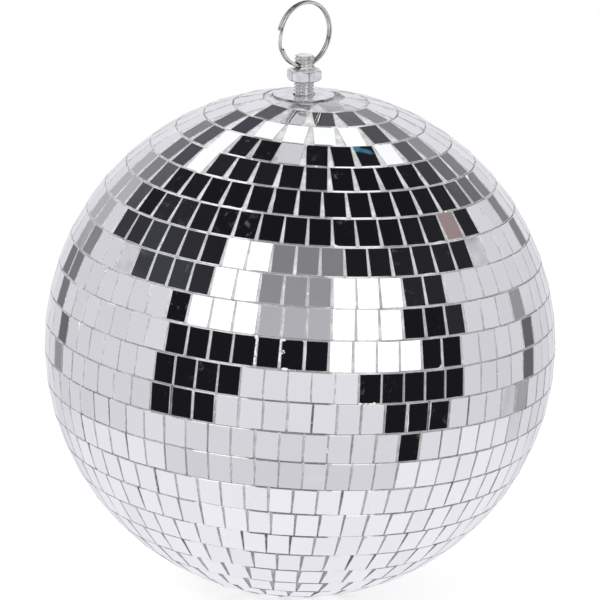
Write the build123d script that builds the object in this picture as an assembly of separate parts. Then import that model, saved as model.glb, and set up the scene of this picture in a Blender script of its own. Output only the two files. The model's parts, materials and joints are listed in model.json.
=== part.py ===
from build123d import *
import math
import os
import random

# Mirror ball: hollow two-part plastic core, coated with adhesive and tiled with
# 25 courses of small flat glass mirrors, hung from a cross-drilled bolt that
# carries a loose lock nut and a split ring.
# Modelled about the ball's centre, +Z up along the bolt. Written out with the
# origin at the hang point, the top of the split ring's inside. mm and degrees.

BALL_D = 200.0            # outside diameter over the glass

# Mirror tiles
TILE_W = 8.45             # along the course
TILE_H = 11.4             # across the course
TILE_T = 1.5              # glass thickness
TILE_GAP_MIN = 0.09       # least gap between two tiles' backs at their tight corners
COURSE_PITCH = 6.85       # latitude step from course to course
COURSE_SHIFT = -0.57      # latitude of the middle course
SKEW = 2.8                # lean of the tile axis from the bolt axis, towards +X
TILE_CLEAR_R = 12.4       # no tile comes nearer the bolt axis than this

# Cut tiles of the two end courses
CUT_H_MIN = 1.8           # a tile trimmed to this height or less is left out
CUT_H_STEP = 0.1
CUT_SIDE_GAP = 0.1        # spare width beside each half tile
CUT_WASHER_GAP = 0.15     # added to TILE_CLEAR_R
CUT_OUTER_INSET = 0.32    # degrees their outer edge is drawn in towards the pole

# Square tiles at the lower pole
POLE_W = 7.0
POLE_GAP = 0.2            # from a tile's inner edges to the pole
POLE_PROUD = 0.05

# Hand setting of the tiles: limits of the random errors
TILT_SIGMA = 0.45         # spread of the tilts, degrees
TILT_MAX = 1.0
TURN_MAX = 0.7            # degrees
TURN_SHARE = 0.28         # share of the free gap that turning may use
SHIFT_MAX = 0.14
SHIFT_SHARE = 0.22        # share of the free gap that sideways shift may use
LIFT_MAX = 0.07           # towards or away from the pole
PROUD_MAX = 0.08          # outwards

# Core, coat, boss and ribs
CORE_R = 96.5
CORE_WALL = 3.0
INNER_R = CORE_R - CORE_WALL
LAP_H = 4.0               # height of the lap joint at the seam
LAP_R = INNER_R + CORE_WALL / 2
LAP_CLEAR = 0.05          # on each side of LAP_R
LAP_OVERLAP = 0.2
BEAD_R = 1.7
COAT_R = 98.1             # outside of the adhesive coat
BOSS_R = 11.0
BOSS_Z = 74.0             # underside of the boss
BOSS_TOP_Z = CORE_R - 1.5
BOSS_BORE_R = 4.15
TRIM_R = CORE_R - 1.0     # sphere that trims the boss and ribs inside the wall
RIB_T = 3.0
RIB_REACH = 38.0
RIB_H = 20
RIB_Z = 79.0              # underside of the ribs

# Washers
INNER_WASHER_R = 12.0
INNER_WASHER_T = 1.5
WASHER_R = 11.9           # washer on top of the ball
WASHER_BORE_R = 4.25
WASHER_T = 1.0
WASHER_Z = 98.8           # its underside
WASHER_CHAMFER = 0.18
BED_BORE_R = WASHER_BORE_R + 0.2     # bore of the coat and of the washer's bed
BED_R = WASHER_R + 0.25

# Hanger bolt
STUD_R = 3.95             # crest radius of the thread
STUD_ROOT_R = 3.2
THREAD_PITCH = 1.25
THREAD_START_Z = 92.0
STUD_TOP_Z = 115.25
STUD_CHAMFER = 0.7
HEAD_AF = 12.0            # across flats
HEAD_H = 5.3
HEAD_TOP_Z = BOSS_Z - INNER_WASHER_T
HEAD_TURN = 10            # one corner of the head points this way
HOLE_R = 1.7              # cross hole
HOLE_Z = 111.35
HOLE_DIR = Vector(0.7604, 0.6494, 0)

# Lock nut
NUT_AF = 12.0
NUT_H = 4.2
NUT_Z = 105.45            # underside of the nut at rest
NUT_BORE_R = 4.01
NUT_CHAMFER = 0.45
NUT_TURN = -73.6          # one corner of the nut points this way

# Split ring
RING_MID_R = 12.45
RING_BAND = 1.3           # radial width of its flat wire
RING_IN_R = RING_MID_R - RING_BAND / 2
RING_OUT_R = RING_MID_R + RING_BAND / 2
COIL_T = 0.90             # thickness of one turn
COIL_SPLIT = 0.12         # slit between the two turns
WIRE_CHAMFER = 0.18
RING_Z = 123.5            # centre of the ring
JOG = 184.0               # place of the crossing, from the hole's direction
JOG_HALF = 17.0

HANG_Z = RING_Z + RING_IN_R     # height of the hang point above the ball's centre

# Courses by number, top first: (angular place of one joint, most tiles).
# Courses 12 and -12 have exactly this many places; the others get fewer where
# that many would touch.
COURSES = {
    12: (-88.3, 8), 11: (-95.3, 15), 10: (-92.97, 22), 9: (-94.59, 31), 8: (-93.36, 38),
    7: (-86.60, 45), 6: (-90.68, 52), 5: (-86.99, 57), 4: (-89.73, 61), 3: (-89.47, 64),
    2: (-89.60, 67), 1: (-87.69, 70), 0: (-92.42, 68), -1: (-88.56, 68), -2: (-88.22, 67),
    -3: (-90.07, 64), -4: (-89.03, 61), -5: (-89.89, 57), -6: (-93.18, 51), -7: (-86.21, 45),
    -8: (-85.35, 38), -9: (-88.0, 31), -10: (-92.0, 22), -11: (-84.0, 15), -12: (-90.0, 8),
}
END_COURSE = 12


# --------------------------------------------------------------------- helpers
def put(name, shape):
    """Write one piece, moved so that the hang point is the origin."""
    export_step(shape.moved(Location((0, 0, -HANG_Z))), "parts/" + name + ".step")


def cyl(radius, z0, z1):
    base = (Align.CENTER, Align.CENTER, Align.MIN)
    return Pos(0, 0, z0) * Cylinder(radius, z1 - z0, align=base)


def bore(radius):
    """Cutter on the bolt axis, long enough for every piece it passes through."""
    return cyl(radius, 60, 130)


def lathe(points, angle=360):
    """Revolve a closed outline of (radius, z) points about Z."""
    outline = [(r, 0, z) for r, z in points + points[:1]]
    return revolve(make_face(Polyline(*outline)), Axis.Z, angle)


def hexagon(across_flats, z0, z1, turn):
    """Hex prism with its corners chamfered at 30 degrees on the two faces."""
    corner_r = across_flats / math.sqrt(3)
    prism = Pos(0, 0, z0) * Rot(0, 0, turn) * extrude(RegularPolygon(corner_r, 6), z1 - z0)
    outer_r = corner_r + 0.01
    face_r = across_flats * 0.475
    drop = (outer_r - face_r) * math.tan(math.radians(30))
    return prism & lathe([
        (0, z0), (face_r, z0), (outer_r, z0 + drop),
        (outer_r, z1 - drop), (face_r, z1), (0, z1),
    ])


# ---------------------------------------------------------------- mirror tiles
FRONT_R = math.sqrt((BALL_D / 2) ** 2 - (TILE_W / 2) ** 2 - (TILE_H / 2) ** 2)
BACK_R = FRONT_R - TILE_T
TILE_AXIS = Vector(math.sin(math.radians(SKEW)), 0, math.cos(math.radians(SKEW)))
AXIS_X = Vector(math.cos(math.radians(SKEW)), 0, -math.sin(math.radians(SKEW)))
AXIS_Y = TILE_AXIS.cross(AXIS_X)
rng = random.Random(4117)


def tile_frame(lat, lon):
    """Outward normal and course direction at a place on the ball."""
    la, lo = math.radians(lat), math.radians(lon)
    out = (AXIS_X * (math.cos(la) * math.cos(lo)) + AXIS_Y * (math.cos(la) * math.sin(lo))
           + TILE_AXIS * math.sin(la))
    along = AXIS_Y * math.cos(lo) - AXIS_X * math.sin(lo)
    return out.normalized(), along.normalized()


def random_tilt():
    """Tangent of a small random tilt."""
    tilt = max(-TILT_MAX, min(TILT_MAX, rng.gauss(0, TILT_SIGMA)))
    return math.tan(math.radians(tilt))


def tile(lat, lon, height, room):
    """One flat tile, set by hand: a little off in place, turn and tilt.
    room is the gap it may use up beside its neighbours."""
    out, along = tile_frame(lat, lon)
    up = out.cross(along)
    # the order of these draws fixes the pattern
    tip = random_tilt()
    lean = random_tilt()
    turn_limit = min(TURN_MAX, math.degrees(TURN_SHARE * room / height))
    turn = math.radians(rng.uniform(-1, 1) * turn_limit)
    shift = rng.uniform(-1, 1) * min(SHIFT_MAX, SHIFT_SHARE * room)
    lift = rng.uniform(-LIFT_MAX, LIFT_MAX)
    proud = rng.uniform(0.0, PROUD_MAX)

    centre = out * (BACK_R + proud + TILE_T / 2) + along * shift + up * lift
    normal = (out + along * lean + up * tip).normalized()
    x_dir = along * math.cos(turn) + up * math.sin(turn)
    x_dir = (x_dir - normal * x_dir.dot(normal)).normalized()
    place = Plane(origin=centre, x_dir=x_dir, z_dir=normal).location
    return Box(TILE_W, height, TILE_T).moved(place)


def axis_clearance(lat, lon, height):
    """Least distance from the bolt axis to the long-course edges of a tile's back."""
    out, along = tile_frame(lat, lon)
    up = out.cross(along)
    points = [
        out * BACK_R + along * (TILE_W / 2 * i / 8) + up * (side * height / 2)
        for i in range(-8, 9)
        for side in (-1, 1)
    ]
    return min(math.hypot(point.X, point.Y) for point in points)


def inner_edge_r(from_pole, height):
    """Distance from the tile axis to the polar edge of a tile's back."""
    angle = math.radians(from_pole)
    return BACK_R * math.sin(angle) - height / 2 * math.cos(angle)


def end_course(number, lat):
    """Cut tiles round a pole, trimmed at the polar edge until they clear each
    other and, at the top, the washer."""
    start, count = COURSES[number]
    south = -1 if lat < 0 else 1
    half_tile = math.degrees(math.atan(TILE_H / 2 / BACK_R))
    outer = 90 - abs(lat) + half_tile - CUT_OUTER_INSET
    tiles = []
    for i in range(count):
        lon = start + 360 / count * (i + 0.5)
        height = TILE_H
        while height > CUT_H_MIN:
            from_pole = outer - math.degrees(math.atan(height / 2 / BACK_R))
            half_width = inner_edge_r(from_pole, height) * math.tan(math.pi / count)
            apart = half_width >= TILE_W / 2 + CUT_SIDE_GAP
            if apart and (number < 0 or axis_clearance(90 - from_pole, lon, height)
                          >= TILE_CLEAR_R + CUT_WASHER_GAP):
                break
            height -= CUT_H_STEP
        if height > CUT_H_MIN:
            tiles.append(tile(south * (90 - from_pole), lon, height, TILE_GAP_MIN))
    return tiles


def course(number):
    lat = COURSE_SHIFT + COURSE_PITCH * number
    if abs(number) == END_COURSE:
        return end_course(number, lat)
    # as many whole tiles as fit at the edge nearer the pole
    start, most = COURSES[number]
    edge_r = inner_edge_r(90 - abs(lat), TILE_H)
    count = min(most, int(math.pi / math.atan((TILE_W + TILE_GAP_MIN) / 2 / edge_r)))
    room = 2 * edge_r * math.tan(math.pi / count) - TILE_W
    return [tile(lat, start + 360 / count * (i + 0.5), TILE_H, room) for i in range(count)]


def pole_tiles():
    """Four small square tiles that close the lower pole."""
    to_centre = POLE_W / 2 + POLE_GAP
    angle = math.degrees(math.atan(math.hypot(to_centre, to_centre) / BACK_R))
    tiles = []
    for i in range(4):
        out = tile_frame(-90 + angle, 45 + 90 * i)[0]
        side = tile_frame(0, 90 * i)[0]
        x_dir = (side - out * side.dot(out)).normalized()
        centre = out * (BACK_R + POLE_PROUD + TILE_T / 2)
        place = Plane(origin=centre, x_dir=x_dir, z_dir=out).location
        tiles.append(Box(POLE_W, POLE_W, TILE_T).moved(place))
    return tiles


# ---------------------------------------------------------------- core and coat
def adhesive_coat():
    return Sphere(COAT_R) - Sphere(CORE_R) - bore(BED_BORE_R)


def slab(z0, z1):
    """Block wider than the ball between two heights."""
    width = 3 * CORE_R
    base = (Align.CENTER, Align.CENTER, Align.MIN)
    return Pos(0, 0, z0) * Box(width, width, z1 - z0, align=base)


def core_upper_half():
    """Upper shell with the lap's inner lip, the bolt boss and four ribs."""
    half = (Sphere(CORE_R) - Sphere(INNER_R)) & slab(0, 3 * CORE_R)
    half += (Sphere(LAP_R - LAP_CLEAR) - Sphere(INNER_R)) & slab(-LAP_H, LAP_OVERLAP)
    half += cyl(BOSS_R, BOSS_Z, BOSS_TOP_Z) & Sphere(TRIM_R)
    for i in range(4):
        bar = Box(RIB_REACH, RIB_T, RIB_H, align=(Align.MIN, Align.CENTER, Align.MIN))
        rib = (Pos(0, 0, RIB_Z) * bar) & Sphere(TRIM_R)
        half += Rot(0, 0, 45 + 90 * i) * rib
    return half - bore(BOSS_BORE_R)


def core_lower_half():
    """Lower shell, rebated inside to take the upper half's lip."""
    half = (Sphere(CORE_R) - Sphere(INNER_R)) & slab(-3 * CORE_R, 0)
    return half - (Sphere(LAP_R + LAP_CLEAR) & slab(-LAP_H - LAP_OVERLAP, 0.1))


def seam_glue_bead():
    """Bead of glue run round the inside of the seam."""
    return (Pos(0, 0, -LAP_H - 0.1) * Torus(INNER_R - 0.1, BEAD_R)) & Sphere(INNER_R - 0.02)


# ------------------------------------------------------- bolt, washers and nut
def hanger_bolt():
    """Hex bolt, head down; its thread is a row of plain grooves."""
    points = [(0, HEAD_TOP_Z), (STUD_R, HEAD_TOP_Z), (STUD_R, THREAD_START_Z)]
    z = THREAD_START_Z
    while z + THREAD_PITCH < STUD_TOP_Z - STUD_CHAMFER:
        points += [
            (STUD_ROOT_R, z + 0.44 * THREAD_PITCH), (STUD_ROOT_R, z + 0.56 * THREAD_PITCH),
            (STUD_R, z + 0.92 * THREAD_PITCH), (STUD_R, z + THREAD_PITCH),
        ]
        z += THREAD_PITCH
    points += [
        (STUD_R, STUD_TOP_Z - STUD_CHAMFER), (STUD_R - STUD_CHAMFER, STUD_TOP_Z),
        (0, STUD_TOP_Z),
    ]
    bolt = lathe(points) + hexagon(HEAD_AF, HEAD_TOP_Z - HEAD_H, HEAD_TOP_Z, HEAD_TURN)
    hole = Plane(origin=Vector(0, 0, HOLE_Z), z_dir=HOLE_DIR)
    return bolt - Cylinder(HOLE_R, 30).moved(hole.location)


def inner_washer():
    return cyl(INNER_WASHER_R, HEAD_TOP_Z, BOSS_Z) - bore(BOSS_BORE_R + 0.1)


def top_washer():
    washer = cyl(WASHER_R, WASHER_Z, WASHER_Z + WASHER_T) - bore(WASHER_BORE_R)
    rims = washer.edges().filter_by(GeomType.CIRCLE).group_by(SortBy.RADIUS)[-1]
    return chamfer(rims, WASHER_CHAMFER)


def washer_bedding():
    """Fill between the coat and the flat underside of the top washer."""
    return cyl(BED_R, 90, WASHER_Z) - Sphere(COAT_R) - bore(BED_BORE_R)


def lock_nut():
    nut = hexagon(NUT_AF, NUT_Z, NUT_Z + NUT_H, NUT_TURN) - bore(NUT_BORE_R)
    for z, depth in ((NUT_Z, NUT_CHAMFER), (NUT_Z + NUT_H, -NUT_CHAMFER)):
        nut -= lathe([
            (0, z), (NUT_BORE_R + NUT_CHAMFER, z), (NUT_BORE_R, z + depth), (0, z + depth),
        ])
    return nut


# ------------------------------------------------------------------ split ring
def ring_turn(z0, stop):
    """One flat turn, its underside at z0, cut short at the angle stop."""
    z1 = z0 + COIL_T
    c = WIRE_CHAMFER
    wire = [
        (RING_IN_R, z0 + c), (RING_IN_R + c, z0), (RING_OUT_R - c, z0), (RING_OUT_R, z0 + c),
        (RING_OUT_R, z1 - c), (RING_OUT_R - c, z1), (RING_IN_R + c, z1), (RING_IN_R, z1 - c),
    ]
    start = JOG + JOG_HALF - 1
    band = Rot(0, 0, start) * lathe(wire, 360 - 2 * (JOG_HALF - 1))
    return band - Rot(0, 0, stop) * Pos(RING_MID_R, 0, 0) * Box(4, 3, 4)


def split_ring():
    """Two flat turns with a slit between them, joined by one slanted crossing.
    Built about the Z axis, then stood up in the plane of the hole and the bolt."""
    # each turn meets the crossing at one end only and stops short at the other
    front = ring_turn(COIL_SPLIT / 2, JOG + JOG_HALF)
    back = ring_turn(-COIL_SPLIT / 2 - COIL_T, JOG - JOG_HALF)

    chord = 2 * RING_MID_R * math.sin(math.radians(JOG_HALF))
    slope = math.degrees(math.atan2(COIL_T + COIL_SPLIT, chord))
    mid_r = RING_MID_R * (1 + math.cos(math.radians(JOG_HALF))) / 2
    crossing = Box(RING_BAND - 0.2, chord + 0.9, COIL_T - 0.02)
    crossing = Rot(0, 0, JOG) * Pos(mid_r, 0, 0) * Rot(-slope, 0, 0) * crossing

    ring = front + crossing + back
    normal = HOLE_DIR.cross(Vector(0, 0, 1))
    stand = Plane(origin=Vector(0, 0, RING_Z), x_dir=HOLE_DIR, z_dir=normal)
    return ring.moved(stand.location)


# ---------------------------------------------------------------------- output
os.makedirs("parts", exist_ok=True)
for row, number in enumerate(COURSES, start=1):
    put("tile_row_%02d" % row, Compound(children=course(number)))
put("pole_tiles_bottom", Compound(children=pole_tiles()))
put("tile_adhesive", adhesive_coat())
for piece in (core_upper_half, core_lower_half, seam_glue_bead, hanger_bolt, inner_washer,
              top_washer, washer_bedding, lock_nut, split_ring):
    put(piece.__name__, piece())
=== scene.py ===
"""A mirror ball hung by its pole from a threaded bolt, lock nut and split ring.

Metres, +Z up. The ball's centre lies on the Z axis and the front faces -Y. The tile
courses run round an axis of their own, read from the CAD. Names ending in _MM, and
sizes noted as such, are in millimetres. Heights in mm are above the ball's centre.
"""
import json
import math
import random
from collections import namedtuple

import bpy
import bmesh
import numpy as np
from mathutils import Matrix, Vector, noise


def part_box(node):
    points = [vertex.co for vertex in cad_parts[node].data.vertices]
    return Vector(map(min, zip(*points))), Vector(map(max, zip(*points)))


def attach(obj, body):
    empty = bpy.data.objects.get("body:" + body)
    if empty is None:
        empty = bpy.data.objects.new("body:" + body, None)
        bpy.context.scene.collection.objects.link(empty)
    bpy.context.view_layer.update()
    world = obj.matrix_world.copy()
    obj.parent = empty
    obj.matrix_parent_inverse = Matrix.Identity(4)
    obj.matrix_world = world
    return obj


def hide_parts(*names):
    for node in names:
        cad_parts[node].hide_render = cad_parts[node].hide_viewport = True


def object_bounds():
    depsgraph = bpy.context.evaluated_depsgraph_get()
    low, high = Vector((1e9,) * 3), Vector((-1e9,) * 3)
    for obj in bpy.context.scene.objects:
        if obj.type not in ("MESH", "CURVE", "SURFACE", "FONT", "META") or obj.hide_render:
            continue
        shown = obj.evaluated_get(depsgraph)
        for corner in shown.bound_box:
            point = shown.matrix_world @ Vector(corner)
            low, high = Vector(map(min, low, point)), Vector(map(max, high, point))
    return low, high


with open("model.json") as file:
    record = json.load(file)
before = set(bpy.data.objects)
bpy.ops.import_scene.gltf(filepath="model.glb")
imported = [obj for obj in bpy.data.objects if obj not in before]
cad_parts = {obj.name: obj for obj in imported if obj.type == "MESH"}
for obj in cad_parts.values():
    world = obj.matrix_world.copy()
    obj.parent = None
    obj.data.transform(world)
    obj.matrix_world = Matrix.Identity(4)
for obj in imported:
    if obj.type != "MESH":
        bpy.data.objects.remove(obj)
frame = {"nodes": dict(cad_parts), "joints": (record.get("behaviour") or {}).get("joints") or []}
cad_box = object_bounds()
NODES = frame["nodes"]
MM = 0.001
TURN = 2 * math.pi
UP = Vector((0, 0, 1))

box_low, box_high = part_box("tile_adhesive")
CENTRE = Vector((0, 0, box_low.z + (box_high.x - box_low.x) / 2))
COURSES = sorted(n for n in NODES if n.startswith("tile_row_"))

# radii about the ball's centre, mm
ADHESIVE_BASE = 98.05
ADHESIVE_MID = 99
TILE_FACE = 99.7
PALE_JOINT_LAT = 6.5        # degrees; above it the joints sit a little higher and are painted pale, a painted highlight; below it mostly darker, a painted shade


# ------------------------------------------------------------------ helpers
def new_object(name, verts, faces, materials, material_ids=None, smooth=True):
    mesh = bpy.data.meshes.new(name)
    mesh.from_pydata([tuple(v) for v in verts], [], faces)
    for mat in materials:
        mesh.materials.append(mat)
    if material_ids is not None:
        mesh.polygons.foreach_set("material_index", np.array(material_ids, np.int32))
    mesh.polygons.foreach_set("use_smooth", np.full(len(mesh.polygons), smooth))
    mesh.update()
    ob = bpy.data.objects.new(name, mesh)
    bpy.context.scene.collection.objects.link(ob)
    return ob


def point_attr(ob, name, values):
    attribute = ob.data.attributes.new(name, "FLOAT_VECTOR", "POINT")
    attribute.data.foreach_set("vector", np.array(values, np.float32).ravel())


def fix_normals(ob, sharp_degrees=None):
    bm = bmesh.new()
    bm.from_mesh(ob.data)
    bmesh.ops.recalc_face_normals(bm, faces=bm.faces)
    bm.to_mesh(ob.data)
    bm.free()
    if sharp_degrees:
        ob.data.shade_smooth()
        ob.data.set_sharp_from_angle(angle=math.radians(sharp_degrees))


def register(ob, part, node=None):
    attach(ob, part)
    if node:
        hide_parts(node)


def tube_faces(sections, size, base=0, closed=False):
    """Quads between loops of `size` points; an open tube is capped at both ends."""
    faces = []
    for j in range(sections if closed else sections - 1):
        this, after = base + j * size, base + (j + 1) % sections * size
        for i in range(size):
            i2 = (i + 1) % size
            faces.append((this + i, this + i2, after + i2, after + i))
    if not closed:
        faces.append(tuple(base + i for i in reversed(range(size))))
        faces.append(tuple(base + (sections - 1) * size + i for i in range(size)))
    return faces


def polar(radius, angle, height):
    """Point about the Z axis; radius and height in mm."""
    return CENTRE + Vector((radius * math.cos(angle), radius * math.sin(angle), height)) * MM


def heights(node):
    """Bottom and top of a CAD node, mm above the ball's centre."""
    low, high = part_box(node)
    return (low.z - CENTRE.z) / MM, (high.z - CENTRE.z) / MM


# ----------------------------------------------------- tiles read from the CAD
# face: centre of the front face. right, up, out: unit directions. Sizes in metres.
Tile = namedtuple("Tile", "face right up out width height depth lon lat")


def islands(ob):
    """Corner points and face normals of each separate solid in a CAD node."""
    mesh = ob.data
    points = np.empty(len(mesh.vertices) * 3)
    mesh.vertices.foreach_get("co", points)
    points = points.reshape(-1, 3)
    rounded = np.round(points * 1e7).astype(np.int64)
    key = np.unique(rounded, axis=0, return_inverse=True)[1].ravel()
    parent = list(range(int(key.max()) + 1))

    def find(item):
        while parent[item] != item:
            parent[item] = parent[parent[item]]
            item = parent[item]
        return item

    for face in mesh.polygons:
        keys = [int(key[v]) for v in face.vertices]
        for other in keys[1:]:
            root, other_root = find(keys[0]), find(other)
            if root != other_root:
                parent[other_root] = root
    groups = {}
    for face in mesh.polygons:
        groups.setdefault(find(int(key[face.vertices[0]])), []).append(face)
    solids = []
    for group in groups.values():
        corners = {int(key[v]): points[v] for face in group for v in face.vertices}
        solids.append((np.array(list(corners.values())), [f.normal.copy() for f in group]))
    return solids


def read_tile(points, normals):
    centre = Vector(points.mean(0))
    rel = centre - CENTRE
    radial = rel.normalized()
    unique = []
    for normal in normals:
        if all(abs(normal.dot(other)) < 0.9 for other in unique):
            unique.append(normal.normalized())
    unique.sort(key=lambda n: -abs(n.dot(radial)))
    out = unique[0] if unique[0].dot(radial) > 0 else -unique[0]
    along = AXIS.cross(radial)
    right = min(unique[1:3], key=lambda n: -abs(n.dot(along)))
    if right.dot(along) <= 0:
        right = -right
    up = out.cross(right)
    spokes = [Vector(p) - centre for p in points]
    size = [max(s.dot(d) for s in spokes) - min(s.dot(d) for s in spokes)
            for d in (right, up, out)]
    return Tile(centre + out * size[2] / 2, right, up, out, *size,
                lon=math.atan2(rel.dot(LON_Y), rel.dot(LON_X)),
                lat=math.asin(max(-1, min(1, radial.dot(AXIS)))))


# tile axis: normal of the plane through the middle course's tiles
mid_centres = np.array([p.mean(0) for p, _ in islands(NODES[COURSES[len(COURSES) // 2]])])
AXIS = Vector(np.linalg.svd(mid_centres - mid_centres.mean(0))[2][2])
if AXIS.z < 0:
    AXIS = -AXIS
LON_X = Vector((1, 0, 0))
LON_X = (LON_X - AXIS * LON_X.dot(AXIS)).normalized()
LON_Y = AXIS.cross(LON_X)

# one list of tiles per course, from the top course down
TILES = [sorted((read_tile(*solid) for solid in islands(NODES[name])), key=lambda t: t.lon)
         for name in COURSES]
POLE = [read_tile(*solid) for solid in islands(NODES["pole_tiles_bottom"])]


def on_tile(tile, across, up, below=0.0):
    """Point on a tile: across and up run -1 to 1 over its face, below is mm under it."""
    return (tile.face + tile.right * (across * tile.width / 2)
            + tile.up * (up * tile.height / 2) - tile.out * (below * MM))


def ball_point(lat, lon, radius):
    """Point at a latitude and longitude about the tile axis; radius in mm."""
    out = (LON_X * math.cos(lon) + LON_Y * math.sin(lon)) * math.cos(lat) + AXIS * math.sin(lat)
    return CENTRE + out * (radius * MM)


# ---------------------------------------------------------------- materials
class Net:
    """Short calls that add shader nodes to one node tree."""

    def __init__(self, tree):
        self.tree = tree

    def put(self, node, inputs):
        for key, value in inputs.items():
            if isinstance(value, bpy.types.NodeSocket):
                self.tree.links.new(value, node.inputs[key])
            elif value is not None:
                node.inputs[key].default_value = value

    def new(self, kind, inputs=None, **settings):
        node = self.tree.nodes.new("ShaderNode" + kind)
        for name, value in settings.items():
            setattr(node, name, value)
        self.put(node, inputs or {})
        return node

    def math(self, operation, *values, clamp=False):
        return self.new("Math", dict(enumerate(values)), operation=operation,
                        use_clamp=clamp).outputs[0]

    def times(self, a, b, clamp=False):
        return self.math("MULTIPLY", a, b, clamp=clamp)

    def plus(self, a, b):
        return self.math("ADD", a, b)

    def greatest(self, value, *others):
        for other in others:
            value = self.math("MAXIMUM", value, other)
        return value

    def blend(self, first, share, second):
        """Weighted mean of two values; share is the first one's."""
        return self.plus(self.times(first, share), self.times(second, 1 - share))

    def ramp(self, x, over, to=(0.0, 1.0), kind="SMOOTHSTEP"):
        """Take x over one range to another."""
        inputs = {"Value": x, "From Min": over[0], "From Max": over[1],
                  "To Min": to[0], "To Max": to[1]}
        return self.new("MapRange", inputs, interpolation_type=kind).outputs["Result"]

    def fall(self, x, over):
        return self.ramp(x, over, to=(1.0, 0.0))

    def noise(self, place, scale, detail=2.0, rough=0.5, distort=0.0):
        inputs = {"Vector": place, "Scale": scale, "Detail": detail,
                  "Roughness": rough, "Distortion": distort}
        return self.new("TexNoise", inputs).outputs["Fac"]

    def mapping(self, place, loc=(0, 0, 0), scale=(1, 1, 1)):
        inputs = {"Vector": place, "Location": loc, "Scale": scale}
        return self.new("Mapping", inputs).outputs["Vector"]

    def attr(self, name):
        return self.new("Attribute", attribute_name=name).outputs["Vector"]

    def split(self, vector):
        return self.new("SeparateXYZ", {0: vector}).outputs[:3]

    def combine(self, red, green, blue):
        return self.new("CombineColor", {0: red, 1: green, 2: blue}).outputs[0]

    def mix(self, factor, a, b):
        """Colour mix; sockets 6, 7 and output 2 are the colour ones."""
        inputs = {"Factor": factor, 6: a, 7: b}
        return self.new("Mix", inputs, data_type="RGBA").outputs[2]

    def bump(self, height, strength, distance, normal=None):
        inputs = {"Height": height, "Strength": strength, "Distance": distance, "Normal": normal}
        return self.new("Bump", inputs).outputs["Normal"]

    def place_mm(self):
        """Object coordinates in millimetres."""
        place = self.new("TexCoord").outputs["Object"]
        return self.mapping(place, scale=(1000, 1000, 1000))

    def tile_place(self, place, seed, step):
        """Place on a tile in mm, moved by the tile's own random numbers times step."""
        return self.new("VectorMath", {0: seed, 1: step, 2: place},
                        operation="MULTIPLY_ADD").outputs[0]

    def upright(self):
        """How far the surface looks up or down, 0 to 1."""
        normal = self.new("NewGeometry").outputs["Normal"]
        return self.math("ABSOLUTE", self.split(normal)[2])


class Surface(Net):
    """A new material and its principled shader."""

    def __init__(self, name):
        self.material = bpy.data.materials.new(name)
        self.material.use_nodes = True
        super().__init__(self.material.node_tree)
        self.bsdf = next(n for n in self.tree.nodes if n.type == "BSDF_PRINCIPLED")

    def finish(self, inputs):
        self.put(self.bsdf, inputs)
        return self.material


def tint(value, red=1.0, green=1.0, blue=1.0):
    return (value * red, value * green, value * blue, 1.0)


def mirror_material():
    net = Surface("mirror_glass")
    place = net.attr("tile_uv")
    seed = net.attr("tile_rnd")
    seed_x, seed_y, seed_z = net.split(seed)
    own = net.tile_place(place, seed, step=(173.0, 211.0, 97.0))
    x, y, _ = net.split(place)
    # smears of dried glue haze and finger marks
    smear = net.ramp(net.noise(own, scale=0.33, detail=5.0, rough=0.62, distort=0.8),
                     over=(0.56, 0.74))
    smear = net.times(smear, net.ramp(seed_x, over=(0.70, 0.97)))
    # hairline scratches, at a different slope on each tile
    turned = net.new("VectorRotate", {"Vector": own, "Angle": net.times(seed_y, 3.1)},
                     rotation_type="Z_AXIS").outputs[0]
    scratch = net.noise(net.mapping(turned, scale=(5.5, 0.22, 1)), scale=1.0, distort=0.15)
    scratch = net.times(net.ramp(scratch, over=(0.745, 0.77)),
                        net.ramp(seed_z, over=(0.72, 0.9)))
    # dust specks, in a few of the cells
    cells = net.new("TexVoronoi", {"Vector": own, "Scale": 0.95}, feature="F1")
    speck = net.fall(cells.outputs["Distance"], over=(0.045, 0.085))
    cell_seed = net.split(cells.outputs["Color"])[0]
    speck = net.times(speck, net.ramp(cell_seed, over=(0.86, 0.88)))
    # the silvering thins and greys in the outermost half millimetre
    rim = net.greatest(net.ramp(net.math("ABSOLUTE", x), over=(3.72, 4.12)),
                       net.ramp(net.math("ABSOLUTE", y), over=(5.15, 5.55)))
    rim = net.times(rim, net.ramp(net.noise(own, scale=0.9, detail=3.0), over=(0.40, 0.62)))
    # how strongly each mark dulls the glass
    dirt = net.greatest(net.times(smear, 0.20), net.times(scratch, 0.22),
                        net.times(speck, 0.45), net.times(rim, 0.20))
    tone = net.ramp(seed_y, over=(0.0, 1.0), to=(0.895, 0.965), kind="LINEAR")
    # a slightly blue glass
    clean = net.combine(net.times(tone, 0.985), net.times(tone, 0.99), net.times(tone, 1.005))
    # float glass is never quite flat: long soft waves, different on each tile
    wave = net.noise(own, scale=0.085, detail=1.0, rough=0.4, distort=0.3)
    ripple = net.noise(own, scale=0.35)
    waves = net.bump(wave, strength=0.9, distance=0.00007)
    ripple_strength = net.ramp(seed_z, over=(0.75, 1.0), to=(0.05, 0.5))
    dulled, polish, blur = 0.55, 0.012, 0.42    # metal lost, clean and added roughness
    return net.finish({
        "Base Color": net.mix(dirt, clean, (0.60, 0.61, 0.63, 1)),
        "Metallic": net.math("SUBTRACT", 1.0, net.times(dirt, dulled)),
        "Roughness": net.plus(polish, net.times(dirt, blur)),
        "Normal": net.bump(ripple, ripple_strength, distance=0.000010, normal=waves)})


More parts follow.
